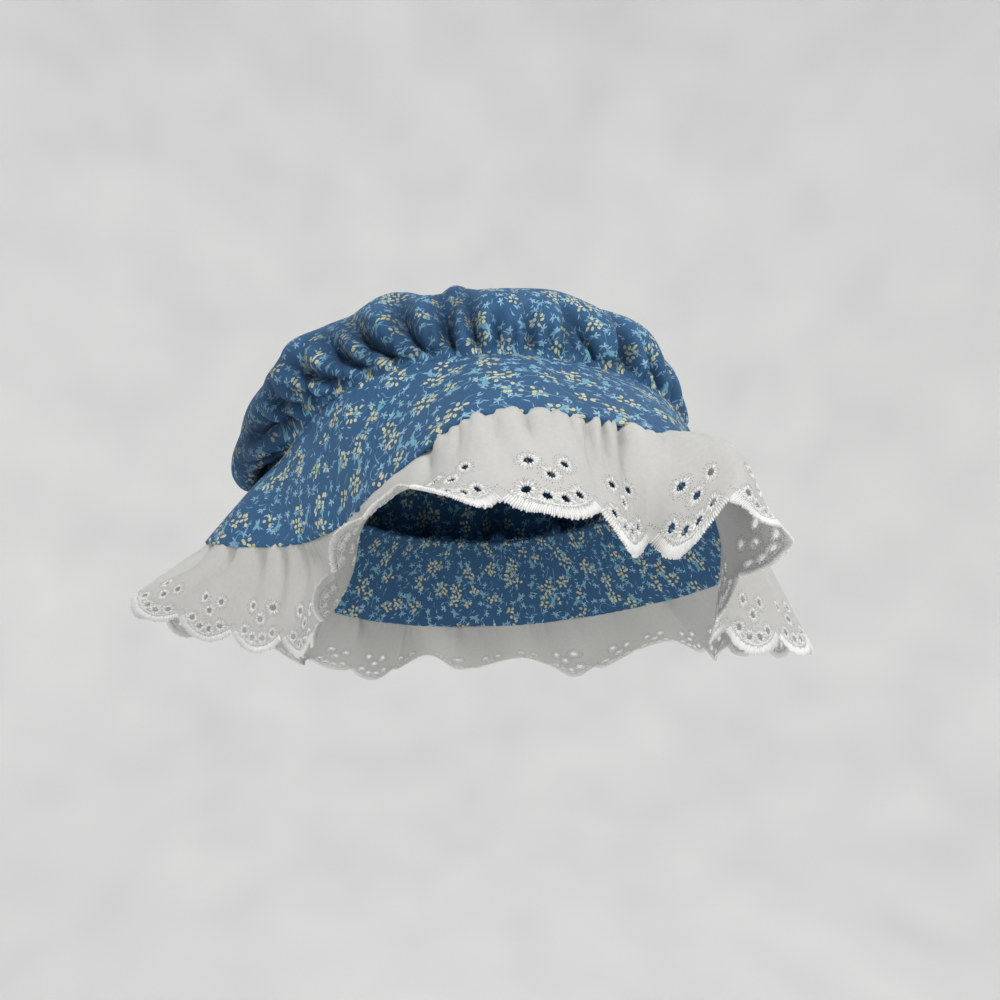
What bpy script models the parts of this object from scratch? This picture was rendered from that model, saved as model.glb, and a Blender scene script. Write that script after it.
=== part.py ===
"""Ruffled sunbonnet: a gathered crown, a flared brim and a pierced lace ruffle.

The bonnet is tilted back, so the brim is high in front and low behind. Its origin is the point
under the crown that carries it. X is to the right as seen from the front, -Y is the front and
Z is up. Sizes are in millimetres until they are placed.
"""
import math

import bpy
import numpy as np
from mathutils import Matrix, Vector

MM = 0.001

# Place of the bonnet: the middle of its seam loop, seen from its origin
SEAM_CENTRE = Vector((-5.0, 4.0, -72.0))
TILT_BACK_DEG = 36.0
TILT_LEFT_DEG = 3.0

# Cloth
CROWN_WALL = 1.2
BRIM_WALL = 2.0
LACE_WALL = 1.0

# Clearances at the two seams, so that neighbours lie close and never touch
CROWN_LIFT = 0.7
BRIM_DROP = 1.1
LACE_GAP = 0.6

# Main sizes
LACE_WIDTH = 47.0
SCALLOP_COUNT = 37
SCALLOP_DEPTH = 7.5
FIRST_CUSP = 0.08
EYELET_RADIUS = 1.5

# How finely each piece is divided
CROWN_COLUMNS = 104
BRIM_COLUMNS = 80
BRIM_ROWS = 4
BRIM_STEPS = 8
HEM_SAMPLES = 1440
SCALLOP_COLUMNS = 5
EYELET_SIDES = 6

# The seam loop and the brim, by azimuth: 0 is the front, 90 is on the right seen from the front.
# Columns: azimuth deg, radius of the seam, slope of the brim below the plane of the seam deg,
# how much steeper the rim is than the seam deg, width of the brim
STATIONS = (
    (-150, 97, 46, 16, 56),
    (-120, 96, 43, 24, 54),
    (-104, 97, 41, 34, 51),
    (-92, 97, 42, 36, 49),
    (-80, 94, 58, 28, 50),
    (-70, 91, 78, 20, 51),
    (-60, 89, 88, 16, 54),
    (-50, 88, 92, 16, 56),
    (-38, 88, 92, 16, 56),
    (-27, 88, 84, 16, 56),
    (-12, 88, 69, 16, 56),
    (0, 88, 54, 16, 56),
    (15, 88, 54, 16, 56),
    (30, 88, 56, 16, 56),
    (38, 89, 59, 16, 56),
    (46, 90, 68, 16, 56),
    (56, 91, 78, 16, 56),
    (70, 92, 77, 16, 57),
    (82, 92, 69, 16, 59),
    (95, 92, 57, 16, 61),
    (125, 95, 48, 16, 58),
    (155, 98, 46, 16, 56),
    (180, 98, 46, 16, 56),
)

# The crown's puff, by azimuth.
# Columns: azimuth deg, how far it swells past the seam, height of its shoulder, how far it sags
PUFF = (
    (-150, 26, 44, 3),
    (-115, 32, 36, 6),
    (-90, 31, 28, 7),
    (-65, 20, 34, 2),
    (-40, 10, 40, 0),
    (-15, 5, 35, 0),
    (15, 4, 34, 0),
    (45, 4, 34, 0),
    (70, 1, 34, 0),
    (90, 1, 35, 0),
    (120, 8, 40, 0),
    (150, 16, 44, 0),
    (180, 20, 46, 0),
)

# One section of the crown from the seam to its middle.
# Columns: share of the seam's radius, share of the swell, share of the shoulder height, rise,
# share of the sag
CROWN_SECTION = (
    (1.00, 0.00, 0.00, 0.0, 0.0),
    (1.00, 0.50, 0.05, 0.0, 1.0),
    (1.00, 0.90, 0.30, 0.0, 0.9),
    (0.97, 1.00, 0.62, 0.0, 0.4),
    (0.88, 0.80, 1.00, 0.0, 0.0),
    (0.70, 0.45, 0.80, 21.0, 0.0),
    (0.47, 0.15, 0.45, 44.0, 0.0),
    (0.22, 0.00, 0.15, 60.0, 0.0),
)
CROWN_TOP_RISE = 67.0

# Soft folds of the crown, deeper where it swells more. Columns: folds in the round, depth, phase deg
CROWN_FOLDS = (
    (13, 1.6, 40),
    (21, 1.4, 100),
    (30, 1.0, 10),
)
FOLD_DEPTH_WHERE_FLAT = 0.6
SWELL_FOR_FULL_FOLDS = 24.0
FOLD_LIFT = 0.4

# Where the hem of the ruffle hangs from the rim.
# Columns: azimuth of the rim deg, hem's reach outward, swing along the rim, drop
HEM = (
    (-172, 20, 4, 38),
    (-160, 30, -8, 32),
    (-150, 14, 4, 42),
    (-138, 26, 10, 36),
    (-126, 12, -6, 42),
    (-114, 28, -4, 34),
    (-104, 20, 4, 40),
    (-96, 30, 14, 32),
    (-91, 35, 18, 24),
    (-86, 37, 8, 26),
    (-81, 28, 0, 36),
    (-76, 16, -4, 43),
    (-70, 9, -2, 46),
    (-63, 6, 0, 46),
    (-58, 4, 6, 45),
    (-54, 10, 24, 34),
    (-50, 20, 34, 16),
    (-45, 26, 36, 0),
    (-39, 30, 34, -7),
    (-32, 32, 32, -9),
    (-23, 36, 28, -8),
    (-16, 41, 20, -5),
    (-11, 44, 14, 1),
    (-5, 43, 9, 13),
    (1, 37, 6, 26),
    (7, 39, 1, 25),
    (13, 37, -1, 28),
    (18, 33, -6, 33),
    (24, 21, -7, 41),
    (29, 28, -15, 34),
    (35, 37, -22, 15),
    (40, 38, -22, 12),
    (45, 40, -14, 13),
    (50, 34, -26, 14),
    (55, 23, -35, 18),
    (60, 10, -33, 31),
    (64, 1, -20, 44),
    (70, 3, -20, 43),
    (77, 9, -24, 40),
    (83, 14, -24, 39),
    (88, 18, -24, 39),
    (94, 18, -14, 41),
    (99, 13, -14, 42),
    (106, 10, -6, 44),
    (116, 6, 6, 45),
    (128, 16, -6, 42),
    (140, 30, 4, 34),
    (152, 14, 6, 42),
    (164, 10, -6, 42),
    (176, 28, -4, 34),
)

# Where the lace arches away from the straight way to its hem.
# Columns: azimuth deg, half width deg, share of the lace's width where it is fullest, how far to
# the right, to the front and up
LACE_ARCHES = (
    (-90, 11, 0.50, -2, 2, 4),
    (-46, 11, 0.40, 8, 0, -5),
    (38, 11, 0.33, 7, 2, 9),
)

# Rows of the ruffle from the rim to the hem, as shares of its width
LACE_ROWS = (0.0, 0.30, 0.56, 0.78, 1.0)
PLAIN_SHARE = 0.5

# Eyelets of one scallop. Columns: column of the scallop, row
EYELETS = (
    (1, 2),
    (2, 1),
    (3, 2),
)

COLOURS = {
    "crown": (0.10, 0.17, 0.36, 1.0),
    "brim": (0.12, 0.20, 0.40, 1.0),
    "lace_ruffle": (0.85, 0.85, 0.84, 1.0),
}


def clear_scene():
    for old in list(bpy.data.objects):
        bpy.data.objects.remove(old, do_unlink=True)


def collection_named(name):
    found = bpy.data.collections.get(name) or bpy.data.collections.new(name)
    if name not in bpy.context.scene.collection.children:
        bpy.context.scene.collection.children.link(found)
    return found


def cloth_material(name):
    material = bpy.data.materials.new(name + "_cloth")
    material.use_nodes = True
    shader = material.node_tree.nodes["Principled BSDF"]
    shader.inputs["Base Color"].default_value = COLOURS[name]
    shader.inputs["Roughness"].default_value = 0.85
    shader.inputs["Metallic"].default_value = 0.0
    return material


def around(table, azimuth, column):
    """Smooth value of a column at an azimuth, on a table that closes on itself."""
    keys = [row[0] for row in table]
    count = len(keys)
    turn = 360.0
    angle = (azimuth - keys[0]) % turn + keys[0]
    at = max(i for i in range(count) if keys[i] <= angle)

    def key(i):
        return keys[i % count] + turn * (i // count)

    def value(i):
        return table[i % count][column]

    def slope(i):
        return (value(i + 1) - value(i - 1)) / (key(i + 1) - key(i - 1))

    span = key(at + 1) - key(at)
    t = (angle - key(at)) / span
    return ((2 * t**3 - 3 * t**2 + 1) * value(at)
            + (t**3 - 2 * t**2 + t) * span * slope(at)
            + (3 * t**2 - 2 * t**3) * value(at + 1)
            + (t**3 - t**2) * span * slope(at + 1))


def bonnet_frame():
    """From the seam's own plane to the world: tilted back, then down on the left."""
    back = Matrix.Rotation(math.radians(-TILT_BACK_DEG), 4, "X")
    left = Matrix.Rotation(math.radians(-TILT_LEFT_DEG), 4, "Y")
    return Matrix.Translation(SEAM_CENTRE) @ left @ back


FRAME = bonnet_frame()


def placed(azimuth, radius, height):
    """World point at an azimuth, a radius and a height over the plane of the seam."""
    angle = math.radians(azimuth)
    return FRAME @ Vector((radius * math.sin(angle), -radius * math.cos(angle), height))


def shell(name, verts, faces, wall):
    """A cloth piece: an open surface given its wall by Solidify."""
    mesh = bpy.data.meshes.new(name)
    mesh.from_pydata([v * MM for v in verts], [], faces)
    mesh.update()
    mesh.shade_smooth()
    mesh.materials.append(cloth_material(name))
    piece = bpy.data.objects.new(name, mesh)
    collection_named("sunbonnet").objects.link(piece)
    solidify = piece.modifiers.new("cloth wall", "SOLIDIFY")
    solidify.thickness = wall * MM
    solidify.offset = 0.0
    solidify.use_even_offset = False
    return piece


def ring_faces(columns, rows):
    """Quads of a closed band of rows, counted round each row first."""
    faces = []
    for row in range(rows - 1):
        for column in range(columns):
            after = (column + 1) % columns
            faces.append((row * columns + column, row * columns + after,
                          (row + 1) * columns + after, (row + 1) * columns + column))
    return faces


def crown_point(azimuth, section):
    radius_share, swell_share, shoulder_share, rise, sag_share = section
    seam = around(STATIONS, azimuth, 1)
    swell = around(PUFF, azimuth, 1)
    shoulder = around(PUFF, azimuth, 2)
    sag = around(PUFF, azimuth, 3)
    ripple = sum(height * math.sin(math.radians(folds * azimuth + phase))
                 for folds, height, phase in CROWN_FOLDS)
    fullness = min(1.0, max(0.0, swell) / SWELL_FOR_FULL_FOLDS)
    depth = FOLD_DEPTH_WHERE_FLAT + (1.0 - FOLD_DEPTH_WHERE_FLAT) * fullness
    held = swell_share == 0.0
    fold = 0.0 if held else ripple * depth * radius_share**2
    radius = seam * radius_share + swell * swell_share + fold
    height = CROWN_LIFT + shoulder * shoulder_share + rise - sag * sag_share + FOLD_LIFT * fold
    return placed(azimuth, radius, height)


def make_crown():
    verts = []
    for section in CROWN_SECTION:
        for column in range(CROWN_COLUMNS):
            azimuth = 360.0 * column / CROWN_COLUMNS
            verts.append(crown_point(azimuth, section))
    faces = ring_faces(CROWN_COLUMNS, len(CROWN_SECTION))
    top = len(verts)
    verts.append(placed(0.0, 0.0, CROWN_TOP_RISE))
    last = top - CROWN_COLUMNS
    for column in range(CROWN_COLUMNS):
        faces.append((last + column, last + (column + 1) % CROWN_COLUMNS, top))
    return shell("crown", verts, faces, CROWN_WALL)


def brim_point(azimuth, share):
    """A point of the brim, from the seam at share 0 to the rim at share 1."""
    radius = around(STATIONS, azimuth, 1)
    slope = around(STATIONS, azimuth, 2)
    curl = around(STATIONS, azimuth, 3)
    height = -BRIM_DROP
    length = around(STATIONS, azimuth, 4) * share / BRIM_STEPS
    for step in range(BRIM_STEPS):
        middle = (step + 0.5) * share / BRIM_STEPS
        angle = math.radians(slope + curl * (middle - 0.5))
        radius += length * math.cos(angle)
        height -= length * math.sin(angle)
    return placed(azimuth, radius, height)


def make_brim():
    verts = [brim_point(360.0 * column / BRIM_COLUMNS, row / (BRIM_ROWS - 1))
             for row in range(BRIM_ROWS) for column in range(BRIM_COLUMNS)]
    faces = [tuple(reversed(face)) for face in ring_faces(BRIM_COLUMNS, BRIM_ROWS)]
    return shell("brim", verts, faces, BRIM_WALL)


def hem_point(azimuth):
    """Where the hem hangs, no farther from the rim than the lace is wide."""
    rim = brim_point(azimuth, 1.0)
    angle = math.radians(azimuth)
    outward = Vector((math.sin(angle), -math.cos(angle), 0.0))
    along = Vector((math.cos(angle), math.sin(angle), 0.0))
    reach = outward * around(HEM, azimuth, 1) + along * around(HEM, azimuth, 2)
    reach.z -= around(HEM, azimuth, 3)
    if reach.length > LACE_WIDTH:
        reach *= LACE_WIDTH / reach.length
    return rim + reach


def hem_azimuths(count):
    """Azimuths of the rim that cut the hem into equal lengths of lace."""
    angles = [360.0 * i / HEM_SAMPLES for i in range(HEM_SAMPLES + 1)]
    points = [hem_point(a) for a in angles]
    lengths = [0.0]
    for here, after in zip(points, points[1:]):
        lengths.append(lengths[-1] + (after - here).length)
    first = FIRST_CUSP * lengths[-1] / SCALLOP_COUNT
    stops = first + np.arange(count) * lengths[-1] / count
    return np.interp(stops, lengths, angles)


def lace_arch(azimuth, share):
    """How far the lace arches at a place, nothing at the rim and at the hem."""
    arch = Vector()
    for middle, wide, fullest, right, front, up in LACE_ARCHES:
        away = ((azimuth - middle + 180.0) % 360.0 - 180.0) / wide
        rise = math.sin(math.pi * share ** (math.log(0.5) / math.log(fullest)))
        arch += Vector((right, -front, up)) * (rise * math.exp(-away * away))
    return arch


def lace_point(azimuth, share):
    """A point of the lace, share 0 at the rim and 1 at the hem.

    The lace leaves the rim the way the brim runs. What the straight way to the hem doesn't use
    of its width hangs as a belly, fading out where the two ways are the same.
    """
    rim = brim_point(azimuth, 1.0)
    leaving = (rim - brim_point(azimuth, 0.9)).normalized()
    start = rim + leaving * LACE_GAP
    chord = hem_point(azimuth) - start
    along = chord.normalized()
    belly = leaving - along * leaving.dot(along)
    belly *= min(2.0, 1.0 / max(belly.length, 0.01))
    slack = max(0.0, LACE_WIDTH - chord.length)
    depth = math.sqrt(3.0 * chord.length * slack / 8.0)
    straight = start + chord * share
    return straight + belly * (4.0 * depth * share * (1.0 - share)) + lace_arch(azimuth, share)


def scallop_edge(phase):
    """How much of the lace's width is left at a place between two cusps."""
    arc = 1.0 - (2.0 * phase - 1.0) ** 2
    return 1.0 - SCALLOP_DEPTH / LACE_WIDTH * (1.0 - arc)


def eyelet_cell(verts, faces, corners):
    """A square of lace with a six-sided hole in its middle."""
    middle = sum((verts[corner] for corner in corners), Vector()) / 4.0
    across = (verts[corners[1]] - verts[corners[0]]).normalized()
    down = verts[corners[3]] - verts[corners[0]]
    down = (down - across * down.dot(across)).normalized()
    hole = []
    for side in range(EYELET_SIDES):
        angle = math.radians(360.0 * (side + 0.5) / EYELET_SIDES - 135.0)
        hole.append(len(verts))
        verts.append(middle + EYELET_RADIUS * (math.cos(angle) * across + math.sin(angle) * down))
    first, second, third, fourth = corners
    faces.extend((
        (first, hole[0], hole[5]),
        (first, second, hole[1], hole[0]),
        (second, hole[2], hole[1]),
        (second, third, hole[3], hole[2]),
        (third, fourth, hole[4], hole[3]),
        (fourth, first, hole[5], hole[4]),
    ))


def make_lace():
    columns = SCALLOP_COUNT * SCALLOP_COLUMNS
    azimuths = hem_azimuths(columns)
    verts = []
    for row, share in enumerate(LACE_ROWS):
        for column, azimuth in enumerate(azimuths):
            phase = (column % SCALLOP_COLUMNS) / SCALLOP_COLUMNS
            trimmed = share * scallop_edge(phase) if share > PLAIN_SHARE else share
            verts.append(lace_point(azimuth, trimmed))
    faces = []
    for row in range(len(LACE_ROWS) - 1):
        for column in range(columns):
            after = (column + 1) % columns
            corners = ((row + 1) * columns + column, (row + 1) * columns + after,
                       row * columns + after, row * columns + column)
            if (column % SCALLOP_COLUMNS, row) in EYELETS:
                eyelet_cell(verts, faces, corners)
            else:
                faces.append(corners)
    return shell("lace_ruffle", verts, faces, LACE_WALL)


def main():
    clear_scene()
    make_crown()
    make_brim()
    make_lace()


main()
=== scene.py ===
"""Ruffled sunbonnet: the cloth, print, gathers and embroidery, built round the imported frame.

The tables and the functions of the first half give the same forms as the CAD source. Sizes are
in millimetres until a mesh is made. X is to the right of someone who looks at the front, -Y is
the front and Z is up.
"""
import math

import bpy
import numpy as np
from mathutils import Matrix, Vector
from mathutils.geometry import delaunay_2d_cdt


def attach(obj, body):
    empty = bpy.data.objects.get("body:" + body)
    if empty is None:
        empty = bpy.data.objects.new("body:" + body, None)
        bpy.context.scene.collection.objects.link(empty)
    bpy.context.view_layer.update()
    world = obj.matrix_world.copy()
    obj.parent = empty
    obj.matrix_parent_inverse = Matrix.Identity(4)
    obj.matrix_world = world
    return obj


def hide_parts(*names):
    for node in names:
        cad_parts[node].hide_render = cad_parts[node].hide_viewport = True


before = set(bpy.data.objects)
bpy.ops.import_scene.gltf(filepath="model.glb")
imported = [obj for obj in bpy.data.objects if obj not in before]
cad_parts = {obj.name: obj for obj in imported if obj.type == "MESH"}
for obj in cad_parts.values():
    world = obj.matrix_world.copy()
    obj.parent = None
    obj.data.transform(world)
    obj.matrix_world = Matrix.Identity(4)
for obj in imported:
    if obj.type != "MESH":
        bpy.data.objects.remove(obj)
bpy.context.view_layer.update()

MM = 0.001

# Place of the bonnet: the middle of its seam loop, seen from the part's origin
SEAM_CENTRE = Vector((-5.0, 4.0, -72.0))
TILT_BACK_DEG = 36.0
TILT_LEFT_DEG = 3.0

CROWN_LIFT = 0.7
BRIM_DROP = 1.1
LACE_GAP = 0.3
BRIM_WALL = 2.0

BRIM_STEPS = 8
LACE_WIDTH = 47.0
SCALLOP_COUNT = 37
SCALLOP_DEPTH = 7.5
FIRST_CUSP = 0.08
HEM_SAMPLES = 1440

# The seam loop and the brim, by azimuth: 0 is the front, and 90 is on the right of someone who
# looks at the front.
# Columns: azimuth deg, radius of the seam, slope of the brim below the plane of the seam deg,
# how much steeper the rim is than the seam deg, width of the brim
STATIONS = (
    (-150, 97, 46, 16, 56),
    (-120, 96, 43, 24, 54),
    (-104, 97, 41, 34, 51),
    (-92, 97, 42, 36, 49),
    (-80, 94, 58, 28, 50),
    (-70, 91, 78, 20, 51),
    (-60, 89, 88, 16, 54),
    (-50, 88, 92, 16, 56),
    (-38, 88, 92, 16, 56),
    (-27, 88, 84, 16, 56),
    (-12, 88, 69, 16, 56),
    (0, 88, 54, 16, 56),
    (15, 88, 54, 16, 56),
    (30, 88, 56, 16, 56),
    (38, 89, 59, 16, 56),
    (46, 90, 68, 16, 56),
    (56, 91, 78, 16, 56),
    (70, 92, 77, 16, 57),
    (82, 92, 69, 16, 59),
    (95, 92, 57, 16, 61),
    (125, 95, 48, 16, 58),
    (155, 98, 46, 16, 56),
    (180, 98, 46, 16, 56),
)

# The crown's puff, by azimuth.
# Columns: azimuth deg, how far it swells past the seam, height of its shoulder, how far it sags
PUFF = (
    (-150, 26, 44, 3),
    (-115, 32, 36, 6),
    (-90, 31, 28, 7),
    (-65, 20, 34, 2),
    (-40, 10, 40, 0),
    (-15, 5, 35, 0),
    (15, 4, 34, 0),
    (45, 4, 34, 0),
    (70, 1, 34, 0),
    (90, 1, 35, 0),
    (120, 8, 40, 0),
    (150, 16, 44, 0),
    (180, 20, 46, 0),
)

# One section of the crown from the seam to its middle.
# Columns: share of the seam's radius, share of the swell, share of the shoulder height, rise,
# share of the sag
CROWN_SECTION = (
    (1.00, 0.00, 0.00, 0.0, 0.0),
    (1.00, 0.50, 0.05, 0.0, 1.0),
    (1.00, 0.90, 0.30, 0.0, 0.9),
    (0.97, 1.00, 0.62, 0.0, 0.4),
    (0.88, 0.80, 1.00, 0.0, 0.0),
    (0.70, 0.45, 0.80, 21.0, 0.0),
    (0.47, 0.15, 0.45, 44.0, 0.0),
    (0.22, 0.00, 0.15, 60.0, 0.0),
    (0.004, 0.00, 0.00, 67.0, 0.0),
)

# Where the hem of the ruffle hangs from the rim.
# Columns: azimuth of the rim deg, hem's reach outward, swing along the rim, drop
HEM = (
    (-172, 20, 4, 38),
    (-160, 30, -8, 32),
    (-150, 14, 4, 42),
    (-138, 26, 10, 36),
    (-126, 12, -6, 42),
    (-114, 28, -4, 34),
    (-104, 20, 4, 40),
    (-96, 30, 14, 32),
    (-91, 35, 18, 24),
    (-86, 37, 8, 26),
    (-81, 28, 0, 36),
    (-76, 16, -4, 43),
    (-70, 9, -2, 46),
    (-63, 6, 0, 46),
    (-58, 4, 6, 45),
    (-54, 10, 24, 34),
    (-50, 20, 34, 16),
    (-45, 26, 36, 0),
    (-39, 30, 34, -7),
    (-32, 32, 32, -9),
    (-23, 36, 28, -8),
    (-16, 41, 20, -5),
    (-11, 44, 14, 1),
    (-5, 43, 9, 13),
    (1, 37, 6, 26),
    (7, 39, 1, 25),
    (13, 37, -1, 28),
    (18, 33, -6, 33),
    (24, 21, -7, 41),
    (29, 28, -15, 34),
    (35, 37, -22, 15),
    (40, 38, -22, 12),
    (45, 40, -14, 13),
    (50, 34, -26, 14),
    (55, 23, -35, 18),
    (60, 10, -33, 31),
    (64, 1, -20, 44),
    (70, 3, -20, 43),
    (77, 9, -24, 40),
    (83, 14, -24, 39),
    (88, 18, -24, 39),
    (94, 18, -14, 41),
    (99, 13, -14, 42),
    (106, 10, -6, 44),
    (116, 6, 6, 45),
    (128, 16, -6, 42),
    (140, 30, 4, 34),
    (152, 14, 6, 42),
    (164, 10, -6, 42),
    (176, 28, -4, 34),
)

# Where the lace arches away from the straight way to its hem.
# Columns: azimuth deg, half width deg, share of the lace's width where it is fullest, how far to
# the right, to the front and up
LACE_ARCHES = (
    (-90, 11, 0.50, -2, 2, 4),
    (-46, 11, 0.40, 8, 0, -5),
    (38, 11, 0.33, 7, 2, 9),
)


def cubic(t, span, low, low_slope, high, high_slope):
    """A smooth step from one key to the next, at shares t of the span between them."""
    return ((2 * t**3 - 3 * t**2 + 1) * low + (t**3 - 2 * t**2 + t) * span * low_slope
            + (3 * t**2 - 2 * t**3) * high + (t**3 - t**2) * span * high_slope)


def around(table, azimuth, column):
    """Smooth values of a column at azimuths, on a table that closes on itself."""
    keys = np.array([row[0] for row in table], float)
    values = np.array([row[column] for row in table], float)
    count = len(keys)
    angle = (np.asarray(azimuth, float) - keys[0]) % 360.0 + keys[0]
    at = np.searchsorted(keys, angle, side="right") - 1

    def key(i):
        return keys[i % count] + 360.0 * (i // count)

    def value(i):
        return values[i % count]

    def slope(i):
        return (value(i + 1) - value(i - 1)) / (key(i + 1) - key(i - 1))

    span = key(at + 1) - key(at)
    t = (angle - key(at)) / span
    return cubic(t, span, value(at), slope(at), value(at + 1), slope(at + 1))


def bonnet_frame():
    """From the seam's own plane to the world: tilted back, then down on the left."""
    back = Matrix.Rotation(math.radians(-TILT_BACK_DEG), 4, "X")
    left = Matrix.Rotation(math.radians(-TILT_LEFT_DEG), 4, "Y")
    return np.array(Matrix.Translation(SEAM_CENTRE) @ left @ back)


FRAME = bonnet_frame()


def placed(azimuth, radius, height):
    """World points at azimuths, radii and heights over the plane of the seam."""
    angle = np.radians(azimuth)
    local = np.stack(np.broadcast_arrays(
        radius * np.sin(angle), -radius * np.cos(angle), height), axis=-1)
    return local @ FRAME[:3, :3].T + FRAME[:3, 3]


def lengths_of(vectors):
    return np.linalg.norm(vectors, axis=-1, keepdims=True)


def unit(vectors):
    return vectors / np.maximum(lengths_of(vectors), 1e-9)


def dot(a, b):
    return (a * b).sum(axis=-1, keepdims=True)


def smooth(t):
    """From 0 to 1 with level ends."""
    t = np.clip(t, 0.0, 1.0)
    return t * t * (3.0 - 2.0 * t)


def brim_point(azimuth, share):
    """Points of the brim, from the seam at share 0 to the rim at share 1."""
    azimuth, share = np.broadcast_arrays(np.asarray(azimuth, float), np.asarray(share, float))
    radius = around(STATIONS, azimuth, 1)
    slope = around(STATIONS, azimuth, 2)
    curl = around(STATIONS, azimuth, 3)
    height = np.full_like(radius, -BRIM_DROP)
    length = around(STATIONS, azimuth, 4) * share / BRIM_STEPS
    for step in range(BRIM_STEPS):
        middle = (step + 0.5) * share / BRIM_STEPS
        angle = np.radians(slope + curl * (middle - 0.5))
        radius = radius + length * np.cos(angle)
        height = height - length * np.sin(angle)
    return placed(azimuth, radius, height)


def hem_point(azimuth):
    """Where the hem hangs, no farther from the rim than the lace is wide."""
    rim = brim_point(azimuth, 1.0)
    angle = np.radians(azimuth)
    outward = np.stack((np.sin(angle), -np.cos(angle), np.zeros_like(angle)), axis=-1)
    along = np.stack((np.cos(angle), np.sin(angle), np.zeros_like(angle)), axis=-1)
    reach = (outward * around(HEM, azimuth, 1)[..., None]
             + along * around(HEM, azimuth, 2)[..., None])
    reach[..., 2] -= around(HEM, azimuth, 3)
    size = lengths_of(reach)
    return rim + reach * np.minimum(1.0, LACE_WIDTH / size)


def hem_measure():
    """Azimuths of the rim, and how much hem lies before each."""
    angles = 360.0 * np.arange(HEM_SAMPLES + 1) / HEM_SAMPLES
    points = hem_point(angles)
    steps = np.linalg.norm(np.diff(points, axis=0), axis=1)
    return angles, np.concatenate(((0.0,), np.cumsum(steps)))


HEM_ANGLES, HEM_LENGTHS = hem_measure()
HEM_LENGTH = HEM_LENGTHS[-1]
PITCH = HEM_LENGTH / SCALLOP_COUNT


def hem_azimuth(x):
    """Azimuth of the rim for a place x mm along the flat lace."""
    stops = FIRST_CUSP * PITCH + np.asarray(x, float)
    turns = np.floor(stops / HEM_LENGTH)
    return np.interp(stops - turns * HEM_LENGTH, HEM_LENGTHS, HEM_ANGLES) + 360.0 * turns


def angle_between(a, b):
    """Degrees from azimuth b to azimuth a, between -180 and 180."""
    return (a - b + 180.0) % 360.0 - 180.0


def lace_arch(azimuth, share):
    """How far the lace arches at places, nothing at the rim and at the hem."""
    arch = np.zeros(azimuth.shape + (3,))
    for middle, wide, fullest, right, front, up in LACE_ARCHES:
        away = angle_between(azimuth, middle) / wide
        turn = np.pi * np.clip(share, 0.0, 1.0) ** (math.log(0.5) / math.log(fullest))
        rise = np.sin(turn) * np.exp(-away * away)
        arch += rise[..., None] * np.array((right, -front, up), float)
    return arch


def lace_point(azimuth, share):
    """Points of the lace, share 0 at the rim and 1 at the hem."""
    azimuth, share = np.broadcast_arrays(np.asarray(azimuth, float), np.asarray(share, float))
    rim = brim_point(azimuth, 1.0)
    leaving = unit(rim - brim_point(azimuth, 0.9))
    start = rim + leaving * LACE_GAP
    chord = hem_point(azimuth) - start
    along = unit(chord)
    belly = leaving - along * dot(leaving, along)
    belly = belly * np.minimum(2.0, 1.0 / np.maximum(lengths_of(belly), 0.01))
    slack = np.maximum(0.0, LACE_WIDTH - lengths_of(chord))
    depth = np.sqrt(3.0 * lengths_of(chord) * slack / 8.0)
    arch = lace_arch(azimuth, share)
    share = share[..., None]
    return start + chord * share + belly * (4.0 * depth * share * (1.0 - share)) + arch


def scallop_drop(x):
    """How far below the rim the lace is cut, at a place x mm along it."""
    phase = (np.asarray(x, float) / PITCH) % 1.0
    return LACE_WIDTH - SCALLOP_DEPTH * (2.0 * phase - 1.0) ** 2


# Meshes

def surface_normals(points):
    """Unit normals of a grid of points, rows first, that closes on itself along its columns."""
    across = np.roll(points, -1, axis=1) - np.roll(points, 1, axis=1)
    down = np.gradient(points, axis=0)
    return unit(np.cross(across, down))


def new_mesh_object(name, verts, faces, corner_uv, material):
    """A smooth object from points in mm and faces, with a UV for each corner of each face."""
    mesh = bpy.data.meshes.new(name)
    mesh.from_pydata((np.asarray(verts) * MM).tolist(), [], faces)
    layer = mesh.uv_layers.new(name="flat_cloth")
    layer.data.foreach_set("uv", np.asarray(corner_uv, np.float32).ravel() * MM)
    mesh.shade_smooth()
    mesh.materials.append(material)
    piece = bpy.data.objects.new(name, mesh)
    bpy.context.scene.collection.objects.link(piece)
    return piece


def grid_faces(rows, columns):
    """Quads of a closed band, and the same corners on a grid with one more column for the UVs."""
    row, column = np.meshgrid(np.arange(rows - 1), np.arange(columns), indexing="ij")
    after = (column + 1) % columns
    faces = np.stack((row * columns + column, row * columns + after,
                      (row + 1) * columns + after, (row + 1) * columns + column), axis=-1)
    wide = columns + 1
    flat = np.stack((row * wide + column, row * wide + column + 1,
                     (row + 1) * wide + column + 1, (row + 1) * wide + column), axis=-1)
    return faces.reshape(-1, 4), flat.reshape(-1, 4)


def add_wall(piece, wall):
    solidify = piece.modifiers.new("cloth wall", "SOLIDIFY")
    solidify.thickness = wall * MM
    solidify.offset = 0.0
    solidify.use_even_offset = False


# Crown

CROWN_COLUMNS = 720
CROWN_ROWS = 64
CROWN_CLOTH = 0.5
CROWN_DISC_RADIUS = 160.0

# A section of middling size, which spaces the rows of every section
TYPICAL_SEAM = 92.0
TYPICAL_SWELL = 12.0
TYPICAL_SHOULDER = 36.0

# Gathers of the crown at the seam
GATHER_COUNT = 118
GATHER_SEED = 7
GATHER_WIDTH = 1.5
GATHER_SPREAD = 0.07
GATHER_REACHES = (13.0, 20.0, 30.0, 46.0)
GATHER_CHANCES = (0.3, 0.3, 0.25, 0.15)

# Millimetres round the crown for one degree
SEAM_ARC = math.radians(92.0)

# Folds and gathers fade out within this distance of the seam
SEAM_FADE = 2.2

# How far the gathered edge is caught under the seam, and over what rise
SEAM_TUCK = 1.6
TUCK_RISE = 3.0

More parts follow.
